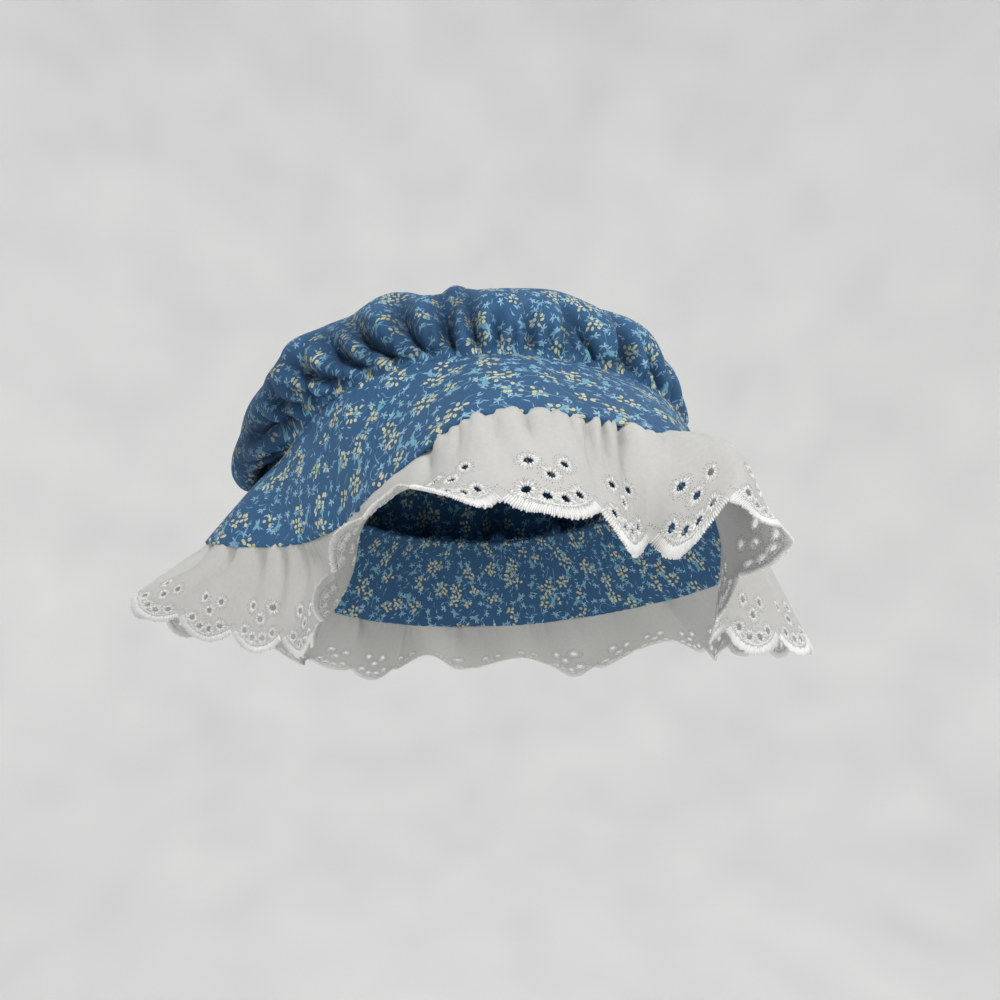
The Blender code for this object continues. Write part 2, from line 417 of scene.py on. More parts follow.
# The cloth over the seam swells past it: how far, over what rise, and where it fades out
OVERHANG = 3.2
OVERHANG_RISE = 6.0
OVERHANG_END = 70.0
OVERHANG_FADE = 50.0

# Drift of the print round the crown slower than about this many waves a round is held back
DRIFT_WAVES = 14


def crown_section(t):
    """The section's five columns at shares t of the way from the seam to the middle."""
    rows = np.array(CROWN_SECTION)
    flat = np.stack((rows[:, 0] * TYPICAL_SEAM + rows[:, 1] * TYPICAL_SWELL,
                     rows[:, 2] * TYPICAL_SHOULDER + rows[:, 3]), axis=1)
    steps = np.linalg.norm(np.diff(flat, axis=0), axis=1)
    keys = np.concatenate(((0.0,), np.cumsum(steps)))
    keys /= keys[-1]
    at = np.clip(np.searchsorted(keys, t, side="right") - 1, 0, len(keys) - 2)
    slopes = np.gradient(rows, keys, axis=0)
    span = (keys[at + 1] - keys[at])[:, None]
    t = (t[:, None] - keys[at][:, None]) / span
    return cubic(t, span, rows[at], slopes[at], rows[at + 1], slopes[at + 1])


def crown_base(azimuth, t):
    """Smooth crown without its folds, rows first."""
    section = crown_section(t)[:, None, :]
    seam = around(STATIONS, azimuth, 1)
    swell = around(PUFF, azimuth, 1)
    shoulder = around(PUFF, azimuth, 2)
    sag = around(PUFF, azimuth, 3)
    radius = seam * section[..., 0] + swell * section[..., 1]
    height = CROWN_LIFT + shoulder * section[..., 2] + section[..., 3] - sag * section[..., 4]
    return placed(azimuth, radius, height)


def valley(across, width):
    """A crease: sharp at its bottom and soft at its sides."""
    return np.exp(-np.abs(across / width) ** 1.35)


# Large folds of the crown.
# Columns: azimuth at the seam deg, azimuth at its far end deg, length, depth, width at the seam
CROWN_FOLDS = (
    (-80, -114, 50, 13.0, 6.0),
    (-75, -92, 44, 6.0, 3.5),
    (-63, -90, 60, 17.0, 6.5),
    (-51, -72, 52, 9.0, 4.0),
    (-44, -60, 30, 5.0, 2.8),
    (-36, -62, 46, 11.0, 3.4),
    (-28, -50, 50, 12.0, 3.4),
    (-19, -46, 62, 13.0, 3.6),
    (-12, -29, 68, 10.0, 3.0),
    (-6, -13, 64, 8.5, 2.8),
    (0, -5, 62, 8.5, 3.0),
    (5, 4, 26, 6.0, 2.4),
    (9, 8, 18, 5.0, 2.0),
    (13, 11, 26, 6.0, 2.4),
    (18, 17, 20, 5.5, 2.2),
    (24, 22, 30, 5.5, 2.6),
    (31, 20, 36, 9.0, 3.2),
    (37, 38, 24, 5.5, 2.6),
    (42, 38, 32, 8.5, 3.0),
    (54, 43, 20, 9.0, 3.5),
    (61, 55, 36, 6.5, 3.0),
    (72, 70, 44, 5.0, 3.2),
    (85, 80, 60, 6.0, 4.0),
    (104, 110, 70, 7.0, 4.5),
    (123, 118, 55, 6.0, 4.0),
    (141, 148, 75, 8.0, 4.5),
    (160, 154, 60, 6.5, 4.0),
    (179, 184, 80, 8.0, 4.5),
    (-162, -156, 60, 7.0, 4.0),
    (-143, -149, 75, 8.0, 4.5),
    (-124, -118, 60, 7.0, 4.0),
    (-104, -124, 70, 10.0, 4.5),
)

# Where the cloth stands up between the folds.
# Columns: azimuth deg, rise over the seam, height, half width across, half width up
CROWN_HUMPS = (
    (-97, 12, 3.0, 12, 12),
    (-55, 34, 3.5, 13, 18),
    (-27, 54, 4.0, 10, 13),
    (-7, 46, 3.5, 8, 13),
    (24, 44, 2.0, 16, 14),
    (52, 40, 2.5, 14, 16),
    (95, 34, 3.0, 14, 18),
    (132, 36, 4.0, 14, 18),
    (170, 40, 4.0, 16, 20),
    (-152, 40, 4.0, 15, 20),
    (-115, 36, 3.5, 14, 18),
)


def crown_folds(azimuth, rise):
    """Depth in mm of the gathers and folds, at azimuths deg and mm of cloth above the seam."""
    random = np.random.default_rng(GATHER_SEED)
    gaps = random.uniform(0.5, 1.5, GATHER_COUNT)
    places = np.cumsum(gaps) / gaps.sum() * 360.0
    reach = random.choice(GATHER_REACHES, GATHER_COUNT, p=GATHER_CHANCES)
    reach *= random.uniform(0.8, 1.25, GATHER_COUNT)
    depths = random.uniform(2.0, 4.2, GATHER_COUNT) * (0.8 + reach / 55.0)
    leans = random.normal(0.0, 0.12, GATHER_COUNT)
    depth = np.zeros(np.broadcast_shapes(azimuth.shape, rise.shape))
    for place, far, deep, lean in zip(places, reach, depths, leans):
        across = angle_between(azimuth, place) * SEAM_ARC - lean * rise
        fade = np.clip(1.0 - rise / far, 0.0, 1.0) ** 1.2
        depth += deep * fade * valley(across, GATHER_WIDTH + GATHER_SPREAD * rise)
    for place, end, far, deep, wide in CROWN_FOLDS:
        centre = place + (end - place) * np.minimum(1.0, rise / far) ** 0.85
        across = angle_between(azimuth, centre) * SEAM_ARC
        fade = smooth(1.15 * (1.0 - rise / far)) * (0.5 + 0.5 * smooth(rise / 7.0))
        depth += deep * fade * valley(across, wide * (0.6 + 0.035 * rise))
    return depth


def crown_humps(azimuth, rise):
    """Height in mm of the humps between the folds."""
    height = np.zeros(np.broadcast_shapes(azimuth.shape, rise.shape))
    for place, up, high, wide, tall in CROWN_HUMPS:
        across = angle_between(azimuth, place) * SEAM_ARC
        height += high * np.exp(-(across / wide) ** 2 - ((rise - up) / tall) ** 2)
    return height


def flat_crown(points, rise):
    """The crown's place on its flat disc: true along each section and, but for drift, round it."""
    steps = np.linalg.norm(np.roll(points, -1, axis=1) - points, axis=2)
    turned = np.concatenate((np.zeros((len(steps), 1)), np.cumsum(steps, axis=1)), axis=1)
    even = math.tau * np.arange(CROWN_COLUMNS + 1) / CROWN_COLUMNS
    drift = math.tau * turned / turned[:, -1:] - even
    waves = np.fft.rfft(drift[:, :-1], axis=1)
    count = np.arange(waves.shape[1])
    waves *= 1.0 - np.exp(-(count / DRIFT_WAVES) ** 2)
    drift = np.fft.irfft(waves, n=CROWN_COLUMNS, axis=1)
    angle = even + np.concatenate((drift, drift[:, :1]), axis=1)
    out = CROWN_DISC_RADIUS * (1.0 - rise / rise[-1:] * 0.99)
    out = np.concatenate((out, out[:, :1]), axis=1)
    return np.stack((out * np.sin(angle), out * np.cos(angle)), axis=-1).reshape(-1, 2)


def make_crown(material):
    azimuth = 360.0 * np.arange(CROWN_COLUMNS) / CROWN_COLUMNS
    share = np.arange(CROWN_ROWS) / (CROWN_ROWS - 1)
    # The rows lie closer together near the seam
    t = 0.5 * share + 0.5 * share**2
    base = crown_base(azimuth[None, :], t)
    steps = np.linalg.norm(np.diff(base, axis=0), axis=2)
    rise = np.concatenate((np.zeros((1, CROWN_COLUMNS)), np.cumsum(steps, axis=0)))
    folds = crown_folds(azimuth[None, :], rise)
    at_seam = 1.0 - np.exp(-rise / SEAM_FADE)
    swell = (OVERHANG * smooth(rise / OVERHANG_RISE)
             * smooth((OVERHANG_END - rise) / OVERHANG_FADE)
             + crown_humps(azimuth[None, :], rise))
    points = base - surface_normals(base) * (folds * at_seam - swell)[..., None]
    # The gathered edge is caught in the seam of the brim
    tuck = SEAM_TUCK * (1.0 - smooth(rise / TUCK_RISE))
    points -= FRAME[:3, 2] * tuck[..., None]
    flat = flat_crown(points, rise)
    faces, flat_faces = grid_faces(CROWN_ROWS, CROWN_COLUMNS)
    faces = faces[:, ::-1]
    flat_faces = flat_faces[:, ::-1]
    verts = points.reshape(-1, 3)
    rim = (CROWN_ROWS - 1) * CROWN_COLUMNS
    cap = [tuple(range(rim, rim + CROWN_COLUMNS))]
    cap_uv = flat[(CROWN_ROWS - 1) * (CROWN_COLUMNS + 1):][:CROWN_COLUMNS]
    corner_uv = np.concatenate((flat[flat_faces.ravel()], cap_uv))
    piece = new_mesh_object("crown_cotton", verts, faces.tolist() + cap, corner_uv, material)
    # Depth of the folds, which the print uses for the painted shade in deep folds
    crease = piece.data.attributes.new("crease", "FLOAT", "POINT")
    crease.data.foreach_set("value", (folds * at_seam).ravel().astype(np.float32))
    add_wall(piece, CROWN_CLOTH)
    return piece


# Brim

BRIM_COLUMNS = 720
BRIM_ROWS = 30
BRIM_EDGE_ROWS = 6
BRIM_WIDTH = 56.0

# The brim's flat cut: the inner radius of a sector of a ring, and its turn in radians
BRIM_CUT_INNER = 154.0
BRIM_CUT_TURN = 3.786

# Slow waves of the brim. Columns: height, waves a round, phase, turn of the phase to the rim
BRIM_WAVES = (
    (0.50, 9, 0.0, 3.0),
    (0.35, 17, 1.0, -4.0),
    (0.20, 31, 2.0, 0.0),
)

# Puckers of the brim at its seam, then at its rim.
# Columns: height, how many a round, swing, swings a round, how far they reach
BRIM_PUCKERS = (
    (0.30, 97, 2.0, 5, 3.5),
    (0.28, 131, 2.5, 7, 4.0),
)


def make_brim(material):
    azimuth = 360.0 * np.arange(BRIM_COLUMNS) / BRIM_COLUMNS
    share = np.arange(BRIM_ROWS) / (BRIM_ROWS - 1)
    middle = brim_point(azimuth[None, :], share[:, None])
    normals = -surface_normals(middle)
    radians = np.radians(azimuth)[None, :]
    far = share[:, None]
    lift = sum(height * np.sin(count * radians + phase + turn * far)
               for height, count, phase, turn in BRIM_WAVES) * smooth(far * 5.0)
    for row, away in zip(BRIM_PUCKERS, (far, 1.0 - far)):
        height, count, swing, swings, reach = row
        lift = lift + (height * np.sin(count * radians + swing * np.sin(swings * radians))
                       * np.exp(-away * BRIM_WIDTH / reach))
    middle = middle + normals * lift[..., None]
    normals = -surface_normals(middle)
    half = BRIM_WALL / 2.0
    leaving = unit(middle[-1] - middle[-2])
    top = middle + normals * half
    under = middle - normals * half
    turn = np.radians(90.0 - 180.0 * (np.arange(BRIM_EDGE_ROWS) + 1) / (BRIM_EDGE_ROWS + 1))
    edge = (middle[-1] + normals[-1] * (half * np.sin(turn))[:, None, None]
            + leaving * (half * np.cos(turn))[:, None, None])
    loop = np.concatenate((top, edge, under[::-1], top[:1]))
    rows = len(loop)
    steps = np.linalg.norm(np.diff(loop, axis=0), axis=2).mean(axis=1)
    down = np.concatenate(((0.0,), np.cumsum(steps)))
    angle = BRIM_CUT_TURN * np.arange(BRIM_COLUMNS + 1) / BRIM_COLUMNS
    out = BRIM_CUT_INNER + down
    flat = np.stack((out[:, None] * np.sin(angle), out[:, None] * np.cos(angle)), axis=-1)
    flat = flat.reshape(-1, 2)
    faces, flat_faces = grid_faces(rows, BRIM_COLUMNS)
    last = (rows - 1) * BRIM_COLUMNS
    faces = np.where(faces >= last, faces - last, faces)
    verts = loop[:-1].reshape(-1, 3)
    corner_uv = flat[flat_faces.ravel()]
    return new_mesh_object("brim_cotton", verts, faces.tolist(), corner_uv, material)


# Lace

LACE_CLOTH = 0.45
RIBBON_COLUMNS = 2880
RIBBON_STEP = 0.5
RIBBON_WIDTH = 50.0
PUCKER_COUNT = 150
PUCKER_SEED = 11
PUCKER_REACHES = (7.0, 12.0, 20.0, 32.0)
PUCKER_CHANCES = (0.35, 0.35, 0.2, 0.1)
PUCKER_WIDTH = 1.3
PUCKER_SPREAD = 0.08

# How far the gathered lace stands out at the rim, and how soon that fades
RIM_STAND = 0.9
RIM_STAND_FADE = 10.0

# Millimetres along the lace for one degree of the rim
LACE_ARC = math.radians(130.0)

# How strongly the lace is gathered. Columns: azimuth deg, share
FULLNESS = (
    (-180, 0.8),
    (-120, 0.6),
    (-100, 0.3),
    (-60, 0.3),
    (-14, 0.35),
    (-4, 1.5),
    (36, 1.5),
    (60, 0.8),
    (120, 0.8),
)

# Pleats of the lace. Columns: azimuth at the rim deg, azimuth at its end, length, depth, width
PLEATS = (
    (-97, -99, 64, 3.0, 4.0),
    (-90, -93, 62, 4.2, 4.0),
    (-83, -88, 60, 4.0, 3.5),
    (-76, -81, 64, 4.8, 4.0),
    (-69, -73, 56, 3.6, 3.2),
    (-63, -67, 60, 4.2, 3.5),
    (-57, -60, 34, 2.6, 3.0),
    (-30, -28, 30, 1.6, 4.0),
    (-9, -8, 38, 3.2, 4.5),
    (-3, -3.5, 26, 2.4, 2.4),
    (2, 3, 34, 3.2, 2.8),
    (6.5, 7.5, 22, 4.2, 2.4),
    (13.5, 14.5, 22, 3.0, 1.6),
    (16.5, 14.5, 54, 5.6, 3.0),
    (19, 17.5, 34, 4.4, 1.8),
    (22, 19.5, 46, 6.5, 3.0),
    (28, 28, 30, 2.8, 4.0),
    (41, 40, 30, 2.0, 4.5),
    (72, 74, 36, 2.6, 4.0),
    (86, 84, 40, 3.0, 4.5),
    (110, 112, 36, 3.0, 5.0),
    (135, 132, 36, 3.0, 5.0),
    (160, 163, 36, 3.0, 5.0),
    (-168, -166, 36, 3.0, 5.0),
    (-142, -145, 36, 3.0, 5.0),
    (-118, -116, 36, 3.0, 5.0),
)


class Ribbon:
    """The hung lace as a map from its flat cut: x mm along it, w mm below the rim, h above it."""

    def __init__(self):
        self.x_step = HEM_LENGTH / RIBBON_COLUMNS
        x = self.x_step * np.arange(RIBBON_COLUMNS)
        w = np.arange(0.0, RIBBON_WIDTH + RIBBON_STEP, RIBBON_STEP)
        azimuth = hem_azimuth(x)
        points = lace_point(azimuth[None, :], w[:, None] / LACE_WIDTH)
        normals = -surface_normals(points)
        lift = self.gathers(x[None, :], w[:, None]) * around(FULLNESS, azimuth, 1)
        lift -= self.pleats(azimuth[None, :], w[:, None])
        self.points = points + normals * lift[..., None]
        self.normals = -surface_normals(self.points)

    @staticmethod
    def gathers(x, w):
        """Small puckers where the lace is gathered into the rim."""
        random = np.random.default_rng(PUCKER_SEED)
        gaps = random.uniform(0.6, 1.4, PUCKER_COUNT)
        places = np.cumsum(gaps) / gaps.sum() * HEM_LENGTH
        reach = random.choice(PUCKER_REACHES, PUCKER_COUNT, p=PUCKER_CHANCES)
        depths = random.uniform(0.6, 1.3, PUCKER_COUNT)
        lift = np.full(np.broadcast_shapes(x.shape, w.shape), 0.0)
        for place, far, deep in zip(places, reach, depths):
            across = (x - place + HEM_LENGTH / 2.0) % HEM_LENGTH - HEM_LENGTH / 2.0
            fade = np.clip(1.0 - w / far, 0.0, 1.0) ** 1.4
            lift -= deep * fade * valley(across, PUCKER_WIDTH + PUCKER_SPREAD * w)
        return lift + RIM_STAND * np.exp(-w / RIM_STAND_FADE)

    @staticmethod
    def pleats(azimuth, w):
        """Depth of the larger pleats, at azimuths deg and mm below the rim."""
        depth = np.zeros(np.broadcast_shapes(azimuth.shape, w.shape))
        for place, end, far, deep, wide in PLEATS:
            centre = place + (end - place) * np.minimum(1.0, w / far)
            across = angle_between(azimuth, centre) * LACE_ARC
            depth += deep * smooth(1.0 - w / far) * valley(across, wide * (0.6 + 0.03 * w))
        return depth * (0.6 + 0.4 * smooth(w / 6.0))

    def place(self, x, w, h):
        """World points of flat points."""
        column = np.asarray(x, float) / self.x_step
        row = np.clip(np.asarray(w, float) / RIBBON_STEP, 0.0, len(self.points) - 1.001)
        c0 = np.floor(column).astype(int)
        r0 = np.floor(row).astype(int)
        fc = (column - c0)[..., None]
        fr = (row - r0)[..., None]
        left = c0 % RIBBON_COLUMNS
        right = (c0 + 1) % RIBBON_COLUMNS

        def blend(grid):
            above = grid[r0, left] * (1 - fc) + grid[r0, right] * fc
            below = grid[r0 + 1, left] * (1 - fc) + grid[r0 + 1, right] * fc
            return above * (1 - fr) + below * fr

        return blend(self.points) + unit(blend(self.normals)) * np.asarray(h, float)[..., None]


# Eyelets of one scallop: across from its middle and below the rim, in mm.
# Columns: across, over the line of the cusps, both as shares of the scallop's width
CUSP_DROP = LACE_WIDTH - SCALLOP_DEPTH
EYELETS = tuple((across * PITCH, CUSP_DROP - up * PITCH) for across, up in (
    (-0.265, 0.075),
    (-0.09, -0.02),
    (0.09, -0.02),
    (0.265, 0.075),
    (0.0, 0.27),
    (-0.185, 0.45),
    (0.185, 0.45),
))
EYELET_RADIUS = 1.65
EYELET_SIDES = 14
HEM_CUTS = 36
TILE_COLUMNS = 26
TILE_STEP = 1.5


def lace_tile():
    """One scallop of the flat lace as points and triangles, with its eyelets cut through."""
    points = []
    edges = []

    def chain(new, closed):
        first = len(points)
        points.extend(new)
        count = len(new)
        links = count if closed else count - 1
        edges.extend((first + i, first + (i + 1) % count) for i in range(links))

    sides = np.arange(0.0, CUSP_DROP, TILE_STEP)
    top = [(PITCH * i / TILE_COLUMNS, 0.0) for i in range(TILE_COLUMNS + 1)]
    hem = [(PITCH * i / HEM_CUTS, float(scallop_drop(PITCH * min(i / HEM_CUTS, 0.999999))))
           for i in range(HEM_CUTS + 1)]
    hem[0] = (0.0, CUSP_DROP)
    hem[-1] = (PITCH, CUSP_DROP)
    right = [(PITCH, w) for w in sides[1:]]
    left = [(0.0, w) for w in sides[:0:-1]]
    chain(top + right + hem[::-1] + left, True)
    middles = [(PITCH / 2.0 + across, w) for across, w in EYELETS]
    for x, w in middles:
        chain([(x + EYELET_RADIUS * math.cos(math.tau * k / EYELET_SIDES),
                w + EYELET_RADIUS * math.sin(math.tau * k / EYELET_SIDES))
               for k in range(EYELET_SIDES)], True)
    for w in np.arange(TILE_STEP, LACE_WIDTH, TILE_STEP):
        for i in range(1, TILE_COLUMNS):
            x = PITCH * i / TILE_COLUMNS
            clear = all(math.hypot(x - a, w - b) > EYELET_RADIUS + 0.6 for a, b in middles)
            if clear and w < float(scallop_drop(x)) - 0.7:
                points.append((x, float(w)))
    result = delaunay_2d_cdt([Vector(p) for p in points], edges, [], 0, 1e-5)
    flat = np.array([tuple(v) for v in result[0]])
    triangles = np.array(result[2])
    centre = flat[triangles].mean(axis=1)
    keep = centre[:, 1] < scallop_drop(np.clip(centre[:, 0], 0.0, PITCH * 0.999999)) + 1e-4
    for x, w in middles:
        keep &= np.hypot(centre[:, 0] - x, centre[:, 1] - w) > EYELET_RADIUS * 0.97
    triangles = triangles[keep]
    used, triangles = np.unique(triangles, return_inverse=True)
    return flat[used], triangles.reshape(-1, 3)


def make_lace(ribbon, material):
    tile, triangles = lace_tile()
    flat = np.concatenate([tile + (PITCH * i, 0.0) for i in range(SCALLOP_COUNT)])
    faces = np.concatenate([triangles + len(tile) * i for i in range(SCALLOP_COUNT)])
    corner_uv = flat[faces.ravel()]
    # Neighbouring scallops share the points of their common side
    key = np.round(np.stack((flat[:, 0] % (HEM_LENGTH - 1e-4), flat[:, 1]), axis=1), 3)
    _, first, same = np.unique(key, axis=0, return_index=True, return_inverse=True)
    flat = flat[first]
    faces = same.ravel()[faces]
    verts = ribbon.place(flat[:, 0], flat[:, 1], np.zeros(len(flat)))
    piece = new_mesh_object("lace_cotton", verts, faces.tolist(), corner_uv, material)
    add_wall(piece, LACE_CLOTH)
    return piece


def strand_mesh(ribbon, starts, ends, wide, thick, profile, sides):
    """Raised stitches: slim closed tubes laid on the flat lace, then carried by the ribbon.

    profile has rows of (share of the length, share of the width).
    """
    count = len(starts)
    rings = len(profile)
    run = ends - starts
    across = np.stack((-run[:, 1], run[:, 0]), axis=1)
    across /= np.linalg.norm(across, axis=1, keepdims=True)
    turn = math.tau * (np.arange(sides) + 0.5) / sides
    share = np.array([row[0] for row in profile])[None, :, None]
    taper = np.array([row[1] for row in profile])[None, :, None]
    reach = taper * np.cos(turn)[None, None, :] * (wide / 2.0)[:, None, None]
    x, w = (starts[:, i, None, None] + run[:, i, None, None] * share
            + across[:, i, None, None] * reach for i in (0, 1))
    h = taper * np.sin(turn)[None, None, :] * (thick / 2.0)[:, None, None]
    h = np.broadcast_to(h, x.shape)
    verts = ribbon.place(x.ravel(), w.ravel(), h.ravel())
    ring, side = np.meshgrid(np.arange(rings - 1), np.arange(sides), indexing="ij")
    after = (side + 1) % sides
    tube = np.stack((ring * sides + side, ring * sides + after,
                     (ring + 1) * sides + after, (ring + 1) * sides + side), axis=-1)
    tube = tube.reshape(-1, 4)
    caps = [list(range(sides))[::-1], list(range((rings - 1) * sides, rings * sides))]
    faces = []
    for i in range(count):
        base = i * rings * sides
        faces.extend((tube + base).tolist())
        faces.extend([base + corner for corner in cap] for cap in caps)
    loops = np.array([corner for face in faces for corner in face])
    corner_uv = np.stack((x.ravel()[loops], w.ravel()[loops]), axis=1)
    return verts, faces, corner_uv


def joined_strands(name, ribbon, pieces, material):
    """One object from sets of stitches."""
    all_verts = []
    all_faces = []
    all_uv = []
    before = 0
    for piece in pieces:
        verts, faces, corner_uv = strand_mesh(ribbon, *piece)
        all_faces.extend([before + corner for corner in face] for face in faces)
        all_verts.append(verts)
        all_uv.append(corner_uv)
        before += len(verts)
    return new_mesh_object(name, np.concatenate(all_verts), all_faces, np.concatenate(all_uv),
                           material)


HEM_SEED = 3
HEM_PROFILE = ((0.0, 0.45), (0.08, 0.9), (0.5, 1.0), (0.92, 0.85), (1.0, 0.35))
LINE_PROFILE = ((0.0, 0.5), (0.5, 1.0), (1.0, 0.4))

# The two rows of the embroidered edge.
# Columns: stitches a scallop, from the cut edge mm, to mm, slant mm, ragged mm, profile, sides
HEM_ROWS = (
    (48, -0.40, 2.9, 0.3, 0.42, HEM_PROFILE, 6),
    (36, 3.4, 4.5, 0.5, 0.15, LINE_PROFILE, 4),
)


def make_hem_satin(ribbon, material):
    """Satin stitches over the scalloped edge, one beside the next, with a fine row inside them."""
    random = np.random.default_rng(HEM_SEED)
    pieces = []
    for each, near, far, slant, ragged, profile, sides in HEM_ROWS:
        x = PITCH * (np.arange(each * SCALLOP_COUNT) + 0.5) / each
        phase = (x / PITCH) % 1.0
        slope = -SCALLOP_DEPTH * 4.0 * (2.0 * phase - 1.0) / PITCH
        inward = np.stack((slope, -np.ones_like(slope)), axis=1)
        inward /= np.linalg.norm(inward, axis=1, keepdims=True)
        edge = np.stack((x, scallop_drop(x)), axis=1)
        starts = edge + inward * (near + random.uniform(-ragged, ragged, len(x)))[:, None]
        ends = edge + inward * (far + random.uniform(-ragged, ragged, len(x)))[:, None]
        ends[:, 0] += slant + random.normal(0.0, 0.08, len(x))
        # At a cusp the stitches meet on the line between two scallops
        cell = np.floor(x / PITCH) * PITCH
        ends[:, 0] = np.clip(ends[:, 0], cell + 0.15, cell + PITCH - 0.15)
        wide = random.uniform(0.78, 1.04, len(x)) * PITCH / each
        thick = random.uniform(1.0, 1.4, len(x)) * min(1.0, (far - near) / 1.5)
        pieces.append((starts, ends, wide, thick, profile, sides))
    return joined_strands("lace_hem_satin", ribbon, pieces, material)


EYELET_STITCHES = 13
EYELET_SEED = 5
EYELET_PROFILE = ((0.0, 0.9), (0.4, 1.0), (1.0, 0.25))


def make_eyelet_satin(ribbon, material):
    """Stitches that ring each eyelet like rays, some longer than others."""
    random = np.random.default_rng(EYELET_SEED)
    starts = []
    ends = []
    for scallop in range(SCALLOP_COUNT):
        for across, w in EYELETS:
            centre = np.array((PITCH * (scallop + 0.5) + across, w))
            turn = math.tau * (np.arange(EYELET_STITCHES) + random.uniform(0, 1)) / EYELET_STITCHES
            turn = turn + random.normal(0.0, 0.07, EYELET_STITCHES)
            ray = np.stack((np.cos(turn), np.sin(turn)), axis=1)
            far = random.uniform(2.5, 3.1, EYELET_STITCHES)
            far[random.random(EYELET_STITCHES) < 0.4] += 0.9
            starts.append(centre + ray * (EYELET_RADIUS - 0.20))
            ends.append(centre + ray * far[:, None])
    starts = np.concatenate(starts)
    ends = np.concatenate(ends)
    wide = random.uniform(0.46, 0.70, len(starts))
    thick = random.uniform(1.1, 1.5, len(starts))
    rays = (starts, ends, wide, thick, EYELET_PROFILE, 4)
    return joined_strands("lace_eyelet_satin", ribbon, [rays], material)


# Materials

class Graph:
    """A material's nodes, made one call at a time."""

    def __init__(self, name):
        self.material = bpy.data.materials.new(name)
        self.material.use_nodes = True
        self.tree = self.material.node_tree
        self.shader = self.tree.nodes["Principled BSDF"]

    def put(self, socket, value):
        if isinstance(value, bpy.types.NodeSocket):
            self.tree.links.new(value, socket)
        else:
            socket.default_value = value

    def node(self, kind, inputs=(), **settings):
        made = self.tree.nodes.new("ShaderNode" + kind)
        for key, value in settings.items():
            setattr(made, key, value)
        for name, value in dict(inputs).items():
            self.put(made.inputs[name], value)
        return made

    def math(self, operation, *values, clamp=False):
        made = self.node("Math", operation=operation, use_clamp=clamp)
        for socket, value in zip(made.inputs, values):
            self.put(socket, value)
        return made.outputs[0]

    def vector(self, operation, *values):
        made = self.node("VectorMath", operation=operation)
        sockets = (made.inputs[0], made.inputs[3 if operation == "SCALE" else 1])
        for socket, value in zip(sockets, values):
            self.put(socket, value)
        return made.outputs[1 if operation in ("LENGTH", "DISTANCE") else 0]

    def mix(self, factor, low, high):
        made = self.node("Mix", data_type="RGBA")
        colours = [s for s in made.inputs if s.type == "RGBA"]
        self.put(made.inputs["Factor"], factor)
        self.put(colours[0], low)
        self.put(colours[1], high)
        return next(s for s in made.outputs if s.type == "RGBA")

    def split(self, vector):
        made = self.node("SeparateXYZ", {"Vector": vector})
        return made.outputs[0], made.outputs[1]

    def cells(self, place, size, randomness, offset):
        """Voronoi cells: each point's place from its cell's middle, that middle, random values."""
        moved = self.vector("ADD", place, (offset, offset * 0.7, 0.0))
        made = self.node("TexVoronoi", {"Vector": moved, "Scale": 1.0 / size,
                                        "Randomness": randomness}, voronoi_dimensions="2D")
        local = self.vector("SUBTRACT", moved, made.outputs["Position"])
        middle = self.vector("SUBTRACT", made.outputs["Position"], (offset, offset * 0.7, 0.0))
        return local, middle, made.outputs["Color"]

    def turned(self, vector, angle):
        made = self.node("VectorRotate", {"Vector": vector, "Angle": angle},
                         rotation_type="Z_AXIS")
        return made.outputs[0]

    def motif(self, place, size, randomness, offset, bend):
        """One motif a cell, turned at random: its place, the same bent, and random values."""
        local, _, chance = self.cells(place, size, randomness, offset)
        pick = self.node("SeparateColor", {"Color": chance}).outputs
        turned = self.turned(local, self.math("MULTIPLY", pick[0], math.tau))
        x, y = self.split(turned)
        y = self.math("SUBTRACT", y, self.math("MULTIPLY", self.math("MULTIPLY", x, x), bend))
        return turned, x, y, pick

    def add_leaves(self, stem, place, leaves):
        """A stem or a leaf with further leaves, each turned away from it."""
        for lean, far, long, wide in leaves:
            x, y = self.split(self.turned(place, lean))
            stem = self.math("MAXIMUM", stem, self.ellipse(x, y, far, long, wide))
        return stem

    def noise(self, place, size, detail=2.0):
        made = self.node("TexNoise", {"Vector": place, "Scale": 1.0 / size, "Detail": detail})
        return made.outputs["Fac"]

    def ellipse(self, x, y, middle, long, wide, sharp=3.0):
        """1 inside an ellipse on the X axis, 0 outside, with a soft edge."""
        a = self.math("DIVIDE", self.math("SUBTRACT", x, middle), long)
        b = self.math("DIVIDE", y, wide)
        far = self.math("ADD", self.math("MULTIPLY", a, a), self.math("MULTIPLY", b, b))
        return self.math("MULTIPLY", self.math("SUBTRACT", 1.0, far), sharp, clamp=True)

    def flat_place(self):
        """The place on the flat cloth in millimetres."""
        uv = self.node("UVMap", uv_map="flat_cloth").outputs[0]
        return self.vector("SCALE", uv, 1000.0)

    def weave(self, place, pitch):
        """Height of a plain weave."""
        x, y = self.split(place)
        wave = math.tau / pitch
        over = self.math("SINE", self.math("MULTIPLY", x, wave))
        under = self.math("SINE", self.math("MULTIPLY", y, wave))
        return self.math("MULTIPLY", over, under)

    def bump(self, height, strength, distance, normal=None):
        made = self.node("Bump", {"Height": height, "Strength": strength, "Distance": distance})
        if normal is not None:
            self.put(made.inputs["Normal"], normal)
        return made.outputs[0]

    def finish(self, colour, roughness, normal=None, **constants):
        self.put(self.shader.inputs["Base Color"], colour)
        self.put(self.shader.inputs["Roughness"], roughness)
        if normal is not None:
            self.put(self.shader.inputs["Normal"], normal)
        for name, value in constants.items():
            self.shader.inputs[name.replace("_", " ")].default_value = value
        return self.material


